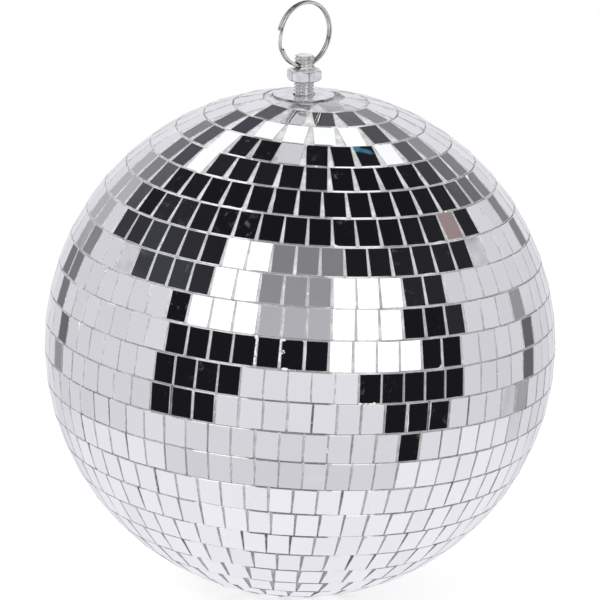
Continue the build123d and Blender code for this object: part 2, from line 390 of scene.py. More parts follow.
def edge_material(name, dark, light, metallic, rough):
    """Cut glass edge: pale, streaked by the cutter; on the front it carries painted highlights and
    painted grey shade.
    """
    net = Surface(name)
    place = net.attr("tile_uv")
    own = net.tile_place(place, net.attr("tile_rnd"), step=(61.0, 37.0, 83.0))
    streak = net.noise(own, scale=1.6, detail=4.0, rough=0.6, distort=0.2)
    slow = net.noise(own, scale=0.22)
    tone = net.ramp(net.blend(streak, 0.55, slow), over=(0.32, 0.66))
    col = net.mix(tone, tint(dark, red=0.98), tint(light, red=0.985))
    # on the front, the tiles' upper and lower edges get a painted highlight, pale colour and a
    # faint emission, where the lamps stand, and a painted grey shade between them
    ball_x, ball_y, _ = net.split(net.place_mm())
    tile_y = net.math("ABSOLUTE", net.split(place)[1])
    front = net.times(net.ramp(tile_y, over=(5.50, 5.58)), net.fall(ball_y, over=(-35, -15)))
    ball_x = net.plus(ball_x, net.ramp(slow, over=(0.3, 0.7), to=(-2.5, 2.5), kind="LINEAR"))
    right_start, left_end = (9.5, 12), (-20, -17)
    painted_highlight = net.plus(
        net.times(net.ramp(ball_x, over=right_start), net.fall(ball_x, over=(28, 31))),
        net.times(net.ramp(ball_x, over=(-41, -38)), net.fall(ball_x, over=left_end)))
    between = net.times(net.ramp(ball_x, over=left_end), net.fall(ball_x, over=right_start))
    painted_highlight = net.times(painted_highlight, front)
    # strengths of the painted grey shade and of the painted highlight's emission
    painted_shade_share, painted_glow = 0.65, 0.16
    col = net.mix(painted_highlight, col, tint(1.0))
    col = net.mix(net.times(net.times(between, front), painted_shade_share), col, (0.30, 0.30, 0.31, 1))
    return net.finish({
        "Emission Color": tint(1.0),
        "Emission Strength": net.times(painted_highlight, painted_glow),
        "Base Color": col,
        "Metallic": metallic,
        "Roughness": net.ramp(streak, over=(0.3, 0.7), to=(rough * 0.6, rough * 1.5)),
        "Normal": net.bump(streak, strength=0.5, distance=0.00006)})


def adhesive_material(name, dark, light, rough=0.42, scale=1.0):
    net = Surface(name)
    place = net.place_mm()
    lumps = net.noise(place, scale=0.9 * scale, detail=5.0, rough=0.6, distort=0.3)
    slow = net.noise(place, scale=0.11 * scale)
    fine = net.noise(place, scale=5.0 * scale)
    tone = net.ramp(net.blend(lumps, 0.6, slow), over=(0.36, 0.64))
    relief = net.plus(lumps, net.times(fine, 0.25))
    return net.finish({
        "Base Color": net.mix(tone, tint(dark, blue=1.03), tint(light, blue=1.015)),
        "Roughness": net.ramp(lumps, over=(0.3, 0.7), to=(rough * 0.6, rough * 1.4)),
        "Specular IOR Level": 0.6,
        "Normal": net.bump(relief, strength=0.7, distance=0.0002)})


def joint_material():
    """Adhesive in the joints: silvery grey, with random tones and painted light: paler in the upper
    courses and on lamp-facing spans of the front, a painted highlight, darker lower down, a painted
    shade.
    """
    net = Surface("adhesive_joint")
    place = net.place_mm()
    tone = net.split(net.attr("tone"))[0]
    lumps = net.noise(place, scale=0.8, detail=4.0, rough=0.55, distort=0.3)
    slow = net.noise(place, scale=0.10)
    vary = net.ramp(net.blend(lumps, 0.6, slow), over=(0.36, 0.64), to=(0.78, 1.12))
    tone = net.times(tone, vary, clamp=True)
    return net.finish({
        "Base Color": net.combine(net.times(tone, 0.985), net.times(tone, 0.98), tone),
        "Roughness": net.ramp(lumps, over=(0.3, 0.7), to=(0.30, 0.55)),
        "Normal": net.bump(lumps, strength=0.5, distance=0.00012)})


def metal_material(name, base, rough, rough_var, dark_shift=(0, 0, 0), grain=3.0, bump=0.00001,
                   metal=1.0, spots=0.0, edge=None, facing=None, level_start=None, wall=None):
    """Plated metal. edge colours the surface as it turns away over the facing range, a painted
    shade that leaves a painted highlight where it faces the view, though not where it looks up or
    down beyond level_start; wall colours upright faces, a painted shade, streaked."""
    net = Surface(name)
    place = net.place_mm()
    fine = net.noise(net.mapping(place), grain, detail=5.0, rough=0.65)
    slow = net.noise(place, scale=0.35, detail=3.0, rough=0.55, distort=0.4)
    tone = net.ramp(slow, over=(0.35, 0.68))
    dark = tuple(max(0.0, c * 0.80 + shift) for c, shift in zip(base, dark_shift)) + (1,)
    col = net.mix(tone, dark, base + (1,))
    if spots:
        spot = net.noise(place, scale=1.7, detail=4.0, rough=0.7)
        spot = net.times(net.ramp(spot, over=(0.66, 0.74)), spots)
        col = net.mix(spot, col, (0.16, 0.15, 0.14, 1))
        metal = net.math("SUBTRACT", metal, net.times(spot, 0.6))
    # painted shade: the surface darkens as it turns from the view, a stand-in for dark reflections
    # at the sides
    if edge:
        away = net.new("LayerWeight", {"Blend": 0.5}).outputs["Facing"]
        share = net.ramp(away, over=facing)
        if level_start:
            share = net.times(share, net.fall(net.upright(), over=(level_start, 0.92)))
        col = net.mix(share, col, edge + (1,))
    if wall:
        # painted shade on the upright faces, streaked by the punch
        streak = net.noise(net.mapping(place, scale=(1, 1, 0.2)), scale=1.6, detail=3.0, rough=0.6)
        share = net.times(net.fall(net.upright(), over=(0.35, 0.8)),
                          net.ramp(streak, over=(0.35, 0.62), to=(1.0, 0.45)))
        col = net.mix(share, col, wall + (1,))
    return net.finish({
        "Metallic": metal,
        "Base Color": col,
        "Roughness": net.ramp(fine, over=(0.3, 0.7), to=(rough, rough + rough_var)),
        "Normal": net.bump(fine, strength=0.6, distance=bump)})


def plastic_material(name, dark, light, rough):
    net = Surface(name)
    place = net.place_mm()
    slow = net.noise(place, scale=0.05, detail=3.0, distort=0.4)
    fine = net.noise(place, scale=2.2, detail=3.0, rough=0.6)
    return net.finish({
        "Base Color": net.mix(net.ramp(slow, over=(0.35, 0.65)), dark + (1,), light + (1,)),
        "Roughness": net.ramp(fine, over=(0.3, 0.7), to=(rough * 0.8, rough * 1.2)),
        "Normal": net.bump(fine, strength=0.4, distance=0.00005)})


M_MIRROR = mirror_material()
M_EDGE = edge_material("glass_cut_edge", dark=0.46, light=0.92, metallic=0.34, rough=0.17)
M_RIM = edge_material("glass_rim", dark=0.50, light=0.94, metallic=0.38, rough=0.09)
M_CHIP = edge_material("glass_chip", dark=0.72, light=1.0, metallic=0.0, rough=0.35)
M_BACK = plastic_material("mirror_backing", dark=(0.30, 0.31, 0.33), light=(0.40, 0.41, 0.43),
                          rough=0.5)
M_JOINT = joint_material()
M_BEAD = adhesive_material("adhesive_bead", dark=0.78, light=0.98, rough=0.32, scale=2.0)
M_COAT = adhesive_material("adhesive_coat", dark=0.42, light=0.62)
M_BED = adhesive_material("adhesive_bedding", dark=0.34, light=0.74, rough=0.36, scale=1.3)
# the edge colours below are painted shade at grazing angles, and the washer's wall colour is
# painted shade on its upright faces
M_STUD = metal_material("zinc_bright_stud", base=(0.93, 0.94, 0.94), rough=0.06, rough_var=0.09,
                        grain=4.0, bump=0.000006, metal=0.66, edge=(0.24, 0.24, 0.25),
                        facing=(0.30, 0.85), level_start=0.60)
M_NUT = metal_material("zinc_satin_nut", base=(0.93, 0.93, 0.97), rough=0.20, rough_var=0.12,
                       grain=6.0, metal=0.55, edge=(0.62, 0.62, 0.66), facing=(0.60, 1.0))
# painted shade lines on the nut's corners and arrises
M_ARRIS = metal_material("zinc_nut_edge", base=(0.44, 0.44, 0.46), rough=0.16, rough_var=0.12,
                         grain=5.0, metal=0.80)
M_WASHER = metal_material("zinc_bright_washer", base=(0.93, 0.94, 0.95), rough=0.06,
                          rough_var=0.10, grain=1.1, bump=0.000005, spots=0.10, metal=0.80,
                          wall=(0.20, 0.20, 0.21))
M_RING = metal_material("nickel_ring", base=(0.95, 0.93, 0.91), rough=0.04, rough_var=0.07,
                        dark_shift=(-0.01, -0.02, -0.03), bump=0.000004, metal=0.94,
                        edge=(0.15, 0.13, 0.12), facing=(0.20, 0.72))
M_CORE = plastic_material("core_plastic", dark=(0.80, 0.80, 0.77), light=(0.88, 0.88, 0.86),
                          rough=0.55)
M_SEAM = plastic_material("seam_glue", dark=(0.80, 0.72, 0.52), light=(0.90, 0.84, 0.68),
                          rough=0.30)
M_INNER = metal_material("zinc_inner_washer", base=(0.72, 0.73, 0.75), rough=0.24,
                         rough_var=0.20, grain=2.0, bump=0.00003)

# --------------------------------------------------------------- glass tiles
TILE_MATERIALS = [M_MIRROR, M_EDGE, M_RIM, M_CHIP, M_BACK]
MIRROR, EDGE, RIM, CHIP, BACK = range(5)
CORNER_CUT = 0.09        # mm along each side


def tile_outline(width, height, rng):
    """Outline, anticlockwise: five points per corner, each with the inward shift of
    its chip or nick and whether it has one. All in mm."""
    half_w, half_h = width / 2, height / 2
    corners = [(-half_w, -half_h), (half_w, -half_h), (half_w, half_h), (-half_w, half_h)]
    cuts = [(rng.uniform(-0.03, 0.0), rng.uniform(-0.03, 0.0)) for _ in range(4)]
    corners = [Vector((x + math.copysign(1, x) * cut_x, y + math.copysign(1, y) * cut_y)).to_tuple()
               if False else (x + math.copysign(1, x) * cut_x, y + math.copysign(1, y) * cut_y)
               for (x, y), (cut_x, cut_y) in zip(corners, cuts)]
    outline = []
    for i, (x, y) in enumerate(corners):
        before, after = corners[i - 1], corners[(i + 1) % 4]
        back = Vector((before[0] - x, before[1] - y)).normalized()
        ahead = Vector((after[0] - x, after[1] - y)).normalized()
        chip = 0.0
        chance = rng.random()
        if chance < 0.012:
            chip = rng.uniform(0.6, 1.5)
        elif chance < 0.06:
            chip = rng.uniform(0.18, 0.45)
        back_cut = min(chip * rng.uniform(0.7, 1.5), height * 0.35, width * 0.35)
        ahead_cut = min(chip * rng.uniform(0.7, 1.5), height * 0.35, width * 0.35)
        middle = ((back.x * back_cut + ahead.x * ahead_cut) * rng.uniform(0.42, 0.62),
                  (back.y * back_cut + ahead.y * ahead_cut) * rng.uniform(0.42, 0.62))
        # three points round the corner, then two along the side to the next one
        outline += [
            ((x + back.x * CORNER_CUT, y + back.y * CORNER_CUT),
             (back.x * back_cut, back.y * back_cut), chip > 0),
            ((x + (back.x + ahead.x) * 0.025, y + (back.y + ahead.y) * 0.025),
             middle, chip > 0),
            ((x + ahead.x * CORNER_CUT, y + ahead.y * CORNER_CUT),
             (ahead.x * ahead_cut, ahead.y * ahead_cut), False)]
        out_x, out_y = ahead.y, -ahead.x
        for share in (0.36, 0.68):
            wobble = rng.uniform(-0.012, 0.0)
            nick = rng.uniform(0.10, 0.28) if rng.random() < 0.015 else 0.0
            side = (x + (after[0] - x) * share + out_x * wobble,
                    y + (after[1] - y) * share + out_y * wobble)
            outline.append((side, (-out_x * nick, -out_y * nick), nick > 0))
    return outline


def add_tile(tile, rng, verts, faces, ids, places, seeds):
    """One cut glass tile: back, side walls, a fine arris, a rim and the mirror face."""
    width, height, depth = tile.width / MM, tile.height / MM, tile.depth / MM
    seed = (rng.random(), rng.random(), rng.random())
    outline = tile_outline(width, height, rng)
    count = len(outline)
    half_w, half_h = width / 2, height / 2
    arris = rng.uniform(0.06, 0.12)
    rim = arris + rng.uniform(0.07, 0.13)
    rings = []
    # height above the face, inset, share of the chip
    for z, inset, chip in ((-depth, 0.0, 0.0), (-depth * 0.45, 0.0, 0.0), (-arris, 0.0, 0.75),
                           (0.0, arris, 1.0), (0.0, rim, 1.0)):
        rings.append(range(len(verts), len(verts) + count))
        for (x, y), (in_x, in_y), _ in outline:
            x = x * ((half_w - inset) / half_w) + in_x * chip
            y = y * ((half_h - inset) / half_h) + in_y * chip
            verts.append(tile.face + tile.right * (x * MM) + tile.up * (y * MM)
                         + tile.out * (z * MM))
            places.append((x, y, z))
            seeds.append(seed)
    faces.append(tuple(reversed(rings[0])))
    ids.append(BACK)
    for j in range(4):
        low, high = rings[j], rings[j + 1]
        for i in range(count):
            i2 = (i + 1) % count
            faces.append((low[i], low[i2], high[i2], high[i]))
            if j in (1, 2) and (outline[i][2] or outline[i2][2]):
                ids.append(CHIP)
            else:
                ids.append(RIM if j == 3 else EDGE)
    faces.append(tuple(rings[4]))
    ids.append(MIRROR)


def tile_piece(name, tiles, node, seed):
    rng = random.Random(seed)
    verts, faces, ids, places, seeds = [], [], [], [], []
    for tile in tiles:
        add_tile(tile, rng, verts, faces, ids, places, seeds)
    ob = new_object(name, verts, faces, TILE_MATERIALS, ids, smooth=False)
    point_attr(ob, "tile_uv", places)
    point_attr(ob, "tile_rnd", seeds)
    register(ob, "ball", node)


# ------------------------------------------------ adhesive squeezed up the joints
# share of the way across the joint, share of the sag
JOINT_SECTION = ((0.0, 0.0), (0.16, 0.35), (0.5, 1.0), (0.84, 0.35), (1.0, 0.0))
JOINT_DEPTH = 1.62       # mm below the tile face
JOINT_STEPS = 9


def upright_joint(left_tile, right_tile, rng, verts, faces, tones):
    """Adhesive in the gap between two neighbours. In the upper courses it sits slightly higher and
    takes a pale tone, a painted highlight;
    lower down it takes random, mostly darker tones, a painted shade."""
    seed = rng.random() * 50
    lat = math.degrees((left_tile.lat + right_tile.lat) / 2)
    # full: share of the pale upper tone and of the slightly higher fill; the pale tone is a painted
    # highlight, the darker tones below are painted shade
    full = 1.0 / (1.0 + math.exp(-(lat - PALE_JOINT_LAT) / 1.2))
    full = min(1.0, max(0.0, full + rng.choice((0, 0, 0, 0, 0.35, -0.25))))
    low_tone = rng.choice((0.20, 0.44, 0.54, 0.60, 0.66, 0.74))
    base = len(verts)
    for j in range(JOINT_STEPS):
        along = -1.02 + 2.04 * j / (JOINT_STEPS - 1)
        slow = noise.noise(Vector((seed, along * 2.3, 0)))
        left, right = on_tile(left_tile, 0.985, along), on_tile(right_tile, -0.985, along)
        out = ((left - CENTRE).normalized() + (right - CENTRE).normalized()).normalized()
        top = 0.26 - 0.06 * full + 0.08 * slow
        sag = 0.20 + 0.10 * noise.noise(Vector((seed + 9, along * 4.1, 3)))
        section = [(across, top + share * sag) for across, share in JOINT_SECTION]
        section += [(1.0, JOINT_DEPTH), (0.0, JOINT_DEPTH)]
        for across, depth in section:
            verts.append(left.lerp(right, across) - out * (max(0.06, depth) * MM))
        tone = max(0.10, low_tone * (1 - full) + 0.66 * full + 0.22 * slow)
        tones += [(tone, 0, 0)] * len(section)
    faces += tube_faces(JOINT_STEPS, len(section), base)


def course_tone_and_painted_light(point, upper, course, step):
    """Tone of the adhesive between courses, which also sets how proud it stands. On the front, the
    upper courses are painted pale on the lamp-facing span to the right, a painted highlight, and
    the lower courses painted grey across the middle, a painted shade; elsewhere the tone varies at
    random.
    """
    shift = 2.5 * noise.noise(Vector((course * 3.3, step * 0.004, 1.0)))
    x = (point - CENTRE).x / MM + shift
    # painted light: these spans of the front copy where the lamps light the joints, a painted
    # highlight, and where they lie in shade, a painted shade
    if point.y <= CENTRE.y:
        if 10.5 < x < 30.0 or (-40.0 < x < -18.0 and not upper):
            return 0.80 if upper else 0.50
        if -18.0 <= x <= 10.5:
            return 0.68 if upper else 0.52
    return 0.68 + 0.34 * noise.noise(Vector((course * 1.9, point.x * 45, point.y * 45)))


def course_joint(course, verts, faces, tones):
    """Ring of adhesive between one course and the next one down."""
    edges = []
    for row, side in ((TILES[course], -1), (TILES[course + 1], 1)):
        point = on_tile(row[0], 0, side, below=0.6) - CENTRE
        edges.append(math.asin(point.normalized().dot(AXIS)))
    mid = (edges[0] + edges[1]) / 2
    half = abs(edges[0] - edges[1]) / 2 + 0.0012
    count = max(48, int(TURN * ADHESIVE_MID * math.cos(mid) / 2.0))
    base = len(verts)
    for j in range(count):
        lon = TURN * j / count
        place = Vector((math.cos(lon) * 9, math.sin(lon) * 9, course * 1.7))
        dip = -0.24 + 0.18 * noise.noise(place * 7.7)
        tone = course_tone_and_painted_light(ball_point(mid, lon, ADHESIVE_MID),
                           math.degrees(mid) > PALE_JOINT_LAT, course, j)
        radius = 99.26 + 0.34 * tone + 0.08 * noise.noise(place * 3.1)
        # share of the half width, mm above the radius
        for share, rise in ((-1.0, 0.02), (-0.45, -0.16), (0.0, dip), (0.45, -0.16), (1.0, 0.02)):
            verts.append(ball_point(mid + share * half, lon, radius + rise))
        verts.append(ball_point(mid + half, lon, ADHESIVE_BASE))
        verts.append(ball_point(mid - half, lon, ADHESIVE_BASE))
        tones += [(tone, 0, 0)] * 7
    faces += [(a, d, c, b) for a, b, c, d in tube_faces(count, 7, base, closed=True)]


def build_joints():
    rng = random.Random(77)
    verts, faces, tones = [], [], []
    for row in TILES:
        for i, tile in enumerate(row):
            upright_joint(tile, row[(i + 1) % len(row)], rng, verts, faces, tones)
    for course in range(len(TILES) - 1):
        course_joint(course, verts, faces, tones)
    joints = new_object("adhesive_joints", verts, faces, [M_JOINT])
    point_attr(joints, "tone", tones)
    fix_normals(joints)
    register(joints, "ball")


# ------------------------------------------------------------- beads of adhesive
# single drops on two front tiles: across, up, half length and half width in mm
DROPS_A = ((-0.58, -0.97, 1.35, 0.62), (-0.80, 0.22, 0.45, 0.34), (-0.88, 0.06, 0.36, 0.3),
           (-0.70, 0.12, 0.3, 0.24), (-0.84, 0.93, 0.9, 0.5), (-0.15, -1.0, 0.32, 0.24),
           (0.1, -1.0, 0.25, 0.2), (0.35, -1.0, 0.3, 0.2))
DROPS_B = ((-0.86, -1.0, 0.75, 0.5), (-0.35, -1.0, 0.55, 0.34), (0.1, -1.02, 0.85, 0.42),
           (0.42, -0.98, 0.6, 0.55))


def nearest_tile(lat, lon):
    """Tile nearest to a place given in degrees."""
    point = ball_point(math.radians(lat), math.radians(lon), TILE_FACE)
    return min((t for row in TILES for t in row), key=lambda t: (t.face - point).length)


def build_beads():
    rng = random.Random(4242)
    verts, faces = [], []
    bm = bmesh.new()
    bmesh.ops.create_icosphere(bm, subdivisions=2, radius=1.0)
    sphere = [v.co.copy() for v in bm.verts]
    sphere_faces = [tuple(v.index for v in f.verts) for f in bm.faces]
    bm.free()

    def bead(tile, across, up, below, along, length, width, rise):
        """A flattened, lumpy drop; its half sizes are in mm."""
        base = len(verts)
        centre = on_tile(tile, across, up, below)
        side = tile.out.cross(along).normalized()
        along = side.cross(tile.out).normalized()
        seed = Vector((rng.random() * 40, rng.random() * 40, rng.random() * 40))
        for p in sphere:
            lump = 1 + 0.22 * noise.noise(p * 1.6 + seed)
            verts.append(centre + (along * (p.x * length * lump) + side * (p.y * width * lump)
                                   + tile.out * (p.z * rise * lump)) * MM)
        faces.extend(tuple(base + i for i in face) for face in sphere_faces)

    def side_beads(tile, side, low, high, count, size):
        """A run of drops along a tile's left or right joint."""
        for _ in range(count):
            up = rng.uniform(low, high)
            across = side * (1.06 + rng.uniform(-0.07, 0.05))
            drop = size * rng.uniform(0.55, 1.25)
            bead(tile, across, up, 0.10, tile.up, drop * rng.uniform(1.0, 2.4),
                 drop * rng.uniform(0.55, 1.0), drop * rng.uniform(0.35, 0.6))

    for row in TILES:
        for tile in row:
            chance = rng.random()
            if chance < 0.08:
                side_beads(tile, rng.choice((-1, 1)), -0.95, 0.95, rng.randint(1, 3),
                           rng.uniform(0.18, 0.36))
            elif chance < 0.12:
                across = rng.uniform(-0.9, 0.9)
                size = rng.uniform(0.16, 0.36)
                bead(tile, across, rng.choice((-1.03, 1.03)), 0.12, tile.right,
                     size * rng.uniform(1, 3), size, size * 0.45)
    # the messier joints in the middle of the front
    tile = nearest_tile(lat=13.1, lon=-103.0)
    side_beads(tile, side=1, low=-0.95, high=0.95, count=12, size=0.50)
    bead(tile, 1.0, 0.93, 0.0, tile.up, length=0.95, width=0.7, rise=0.34)
    tile = nearest_tile(lat=13.1, lon=-97.7)
    side_beads(tile, side=1, low=-0.6, high=0.95, count=12, size=0.52)
    side_beads(tile, side=-1, low=-0.9, high=0.9, count=6, size=0.40)
    for lat, lon, drops in ((13.1, -92.3, DROPS_A), (6.3, -75.2, DROPS_B)):
        tile = nearest_tile(lat, lon)
        for across, up, length, width in drops:
            bead(tile, across, up, -0.02, tile.right, length, width, rise=0.34)
    register(new_object("adhesive_beads", verts, faces, [M_BEAD]), "ball")


# ------------------------------------------------------- washer and its adhesive
WASHER_BOTTOM, WASHER_TOP = heights("top_washer")


def build_washer():
    """Punched washer: the upper edge is rolled, the lower one sharper, and the top is
    slightly dished towards its bore."""
    low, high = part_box("top_washer")
    outer = (high.x - low.x) / 2 / MM
    bore, seg = 4.25, 128
    bottom, top = WASHER_BOTTOM, WASHER_TOP
    # radius, height
    profile = [(bore, bottom + 0.12), (bore + 0.06, bottom), (6.5, bottom), (9.0, bottom),
               (outer - 0.12, bottom), (outer, bottom + 0.10), (outer, bottom + 0.62)]
    profile += [(outer - 0.30 * (1 - math.cos(a)), bottom + 0.62 + 0.36 * math.sin(a))
                for a in (0.5, 0.9, 1.25, 1.57)]
    profile += [(outer - 1.4, top - 0.005), (9.0, top - 0.03), (6.5, top - 0.045),
                (bore + 0.55, top - 0.05), (bore + 0.30, top - 0.08),
                (bore + 0.10, top - 0.17), (bore, top - 0.32)]
    verts = [polar(r, TURN * j / seg, z) for j in range(seg) for r, z in profile]
    faces = tube_faces(seg, len(profile), closed=True)
    washer = new_object("pole_washer", verts, faces, [M_WASHER])
    fix_normals(washer, 32)
    register(washer, "ball", "top_washer")


def build_bed():
    """An uneven skirt that squeezed out round the washer and ran to the tiles."""
    radii = [4.5, 7.0, 9.5, 10.8, 11.4, 11.8, 12.25, 12.8, 13.5, 14.5, 15.8, 17.2]
    under_washer, lip_radius, skirt = 11.95, 12.35, 14.0
    seg, count = 160, len(radii)
    verts, faces = [], []
    spokes = [Vector((math.cos(TURN * j / seg), math.sin(TURN * j / seg), 0))
              for j in range(seg)]
    for d in spokes:
        # the lip is highest on the left (-X), a little to the front
        left_side = max(0.0, -d.x * 0.93 - d.y * 0.37) ** 6
        lip = (0.10 + 0.12 * noise.noise(Vector((d.x * 2.1, d.y * 2.1, 4.4)))
               + 0.75 * left_side)
        for r in radii:
            place = Vector((d.x * r, d.y * r, 0)) * 0.28
            lumps = noise.noise(place) * 0.5 + noise.noise(place * 3.3 + Vector((7, 1, 2))) * 0.3
            radius = 98.70 + 0.22 * lumps
            z = math.sqrt(radius * radius - r * r)
            if r < under_washer:
                z = min(z + 0.9, WASHER_BOTTOM - 0.004)
            else:
                z += math.exp(-((r - lip_radius) / 0.45) ** 2) * lip
            if r > skirt:
                z -= (r - skirt) * 0.12
            verts.append(CENTRE + Vector((d.x * r, d.y * r, z)) * MM)
    for d in spokes:
        for r in (radii[-1], radii[0]):
            z = math.sqrt(ADHESIVE_BASE ** 2 - r * r)
            verts.append(CENTRE + Vector((d.x * r, d.y * r, z)) * MM)
    for j in range(seg):
        j2 = (j + 1) % seg
        this, after = j * count, j2 * count
        for i in range(count - 1):
            faces.append((this + i, this + i + 1, after + i + 1, after + i))
        base, base2 = seg * count + j * 2, seg * count + j2 * 2
        faces.append((this + count - 1, base, base2, after + count - 1))
        faces.append((base, base + 1, base2 + 1, base2))
        faces.append((base + 1, this, after, base2 + 1))
    bed = new_object("washer_bed", verts, faces, [M_BED])
    fix_normals(bed)
    register(bed, "ball", "washer_bedding")


# ----------------------------------------------------------- the bolt and the nut
CREST, ROOT, PITCH = 3.95, 3.2, 1.25     # thread radii and pitch, mm
THREAD_START = 92.0
HEAD_HEIGHT = 5.3
ACROSS_FLATS = 12.0
BOLT_BOTTOM, BOLT_TOP = heights("hanger_bolt")

# cross hole for the split ring
hinge = next(j for j in frame["joints"] if j["name"] == "ring_swing")
HOLE = Vector(hinge["pos_m"])
HOLE_DIR = Vector(hinge["axis"]).normalized()
HOLE_RADIUS = 1.7


def hex_body(low, high, turn, flat_radius, bore, side_steps):
    """Hexagon with chamfered ends and rounded corners about a bore of (radius, height)
    points. All in mm, turn in degrees."""
    corner = ACROSS_FLATS / math.sqrt(3) - 0.10
    verts = []
    for side in range(6):
        for i in range(side_steps):
            share = -1 + 2 * (i + 0.5) / side_steps
            share = math.copysign(abs(share) ** 0.75, share)
            angle = side * 60 + 29.6 * share
            local = ((angle + 30) % 60) - 30
            outer = min(ACROSS_FLATS / 2 / math.cos(math.radians(local)), corner)
            drop = max(0.0, outer - flat_radius) * math.tan(math.radians(30)) + 0.02
            middle = flat_radius + (outer - flat_radius) * 0.5
            profile = bore + [
                (flat_radius, high), (middle, high - drop * 0.42),
                (outer - 0.06, high - drop), (outer, high - drop - 0.13),
                (outer, low + drop + 0.13), (outer - 0.06, low + drop),
                (middle, low + drop * 0.42), (flat_radius, low)]
            theta = math.radians(angle + turn + 30)
            verts += [polar(r, theta, z) for r, z in profile]
    return verts, tube_faces(6 * side_steps, len(bore) + 8, closed=True)


def stud_radius(z, angle):
    """Plain shank, then a rounded V thread that fades in and tapers off at the top."""
    if z < THREAD_START:
        return CREST
    phase = ((z - THREAD_START) / PITCH - angle / TURN) % 1.0
    ridge = abs(phase - 0.5) * 2
    r = ROOT + (CREST - ROOT) * min(1.0, max(0.0, (ridge - 0.10) / 0.72))
    fade = min(1.0, (z - THREAD_START) / 1.3)
    r = CREST + (r - CREST) * fade
    return min(r, 3.25 + (BOLT_TOP - z) * 0.9)


def drill(bolt):
    """Cut the cross hole and keep the result as the bolt's mesh."""
    drill_mesh = bpy.data.meshes.new("cut")
    bm = bmesh.new()
    bmesh.ops.create_cone(bm, cap_ends=True, segments=48, radius1=HOLE_RADIUS * MM,
                          radius2=HOLE_RADIUS * MM, depth=14 * MM)
    bm.to_mesh(drill_mesh)
    bm.free()
    cutter = bpy.data.objects.new("cut", drill_mesh)
    bpy.context.scene.collection.objects.link(cutter)
    turn = HOLE_DIR.to_track_quat("Z", "Y").to_matrix().to_4x4()
    cutter.matrix_world = Matrix.Translation(HOLE) @ turn
    mod = bolt.modifiers.new("hole", "BOOLEAN")
    mod.operation = "DIFFERENCE"
    mod.solver = "EXACT"
    mod.object = cutter
    bpy.context.view_layer.update()
    depsgraph = bpy.context.evaluated_depsgraph_get()
    drilled = bpy.data.meshes.new_from_object(bolt.evaluated_get(depsgraph))
    bolt.modifiers.clear()
    bolt.data = drilled
    bpy.data.objects.remove(cutter)
    drilled.materials.clear()
    drilled.materials.append(M_STUD)
    drilled.polygons.foreach_set("material_index", np.zeros(len(drilled.polygons), np.int32))


def build_bolt():
    seg, layer = 72, PITCH / 14
    head_top = BOLT_BOTTOM + HEAD_HEIGHT
    levels = [head_top, BOLT_BOTTOM + 12, THREAD_START - 0.4]
    z = THREAD_START
    while z < BOLT_TOP - 0.001:
        levels.append(z)
        z += layer
    levels.append(BOLT_TOP)
    angles = [TURN * i / seg for i in range(seg)]
    verts = [polar(stud_radius(z, a), a, z) for z in levels for a in angles]
    bolt = new_object("hanger_bolt_threaded", verts, tube_faces(len(levels), seg), [M_STUD])
    fix_normals(bolt)
    drill(bolt)
    # the hexagonal head, inside the ball, joins the bolt's mesh
    bore = [(0.6, BOLT_BOTTOM), (0.6, head_top - 0.05), (3.0, head_top)]
    verts, faces = hex_body(BOLT_BOTTOM, head_top, turn=10, flat_radius=5.7, bore=bore,
                            side_steps=14)
    head = new_object("head_tmp", verts, faces, [M_STUD])
    fix_normals(head)
    bm = bmesh.new()
    bm.from_mesh(bolt.data)
    bm.from_mesh(head.data)
    bm.to_mesh(bolt.data)
    bm.free()
    bpy.data.objects.remove(head)
    bolt.data.shade_smooth()
    bolt.data.set_sharp_from_angle(angle=math.radians(38))
    register(bolt, "ball", "hanger_bolt")


def build_nut():
    low, high = heights("lock_nut")
    side_steps = 16
    thread_in, thread_out, mouth = 4.01, 4.3, 4.46   # bore radii
    bore = [(mouth, low)]
    z = low + 0.45
    while z < high - 0.45:
        bore.append((thread_in if len(bore) % 2 else thread_out, z))
        z += 0.31
    bore += [(thread_in, high - 0.45), (mouth, high)]
    verts, faces = hex_body(low, high, turn=-73.6, flat_radius=5.80, bore=bore,
                            side_steps=side_steps)
    # the upright corners and the arrises at both ends of the sides take the darker arris material,
    # painted shade lines
    first, per_section = len(bore), len(bore) + 8
    ids = []
    for j in range(6 * side_steps):
        corner = j % side_steps == side_steps - 1
        for i in range(per_section):
            on_corner = corner and first + 1 <= i < per_section - 1
            ids.append(1 if on_corner or i in (first + 2, first + 4) else 0)
    nut = new_object("hex_lock_nut", verts, faces, [M_NUT, M_ARRIS], ids)
    fix_normals(nut, 14)
    register(nut, "nut", "lock_nut")


# -------------------------------------------------------------- the split ring
RING_RADIUS = 12.45
RING_RISE = 12.15        # ring centre above the cross hole
WIRE_HALF_W, WIRE_HALF_T, WIRE_ROUND = 0.65, 0.45, 0.40    # radial, axial, corner radius
TURN_OFFSET = 0.51       # each turn's distance from the ring's middle plane
WIRE_START, WIRE_END = 16.8, 703.2       # degrees along the coil
RING_STEPS = 560


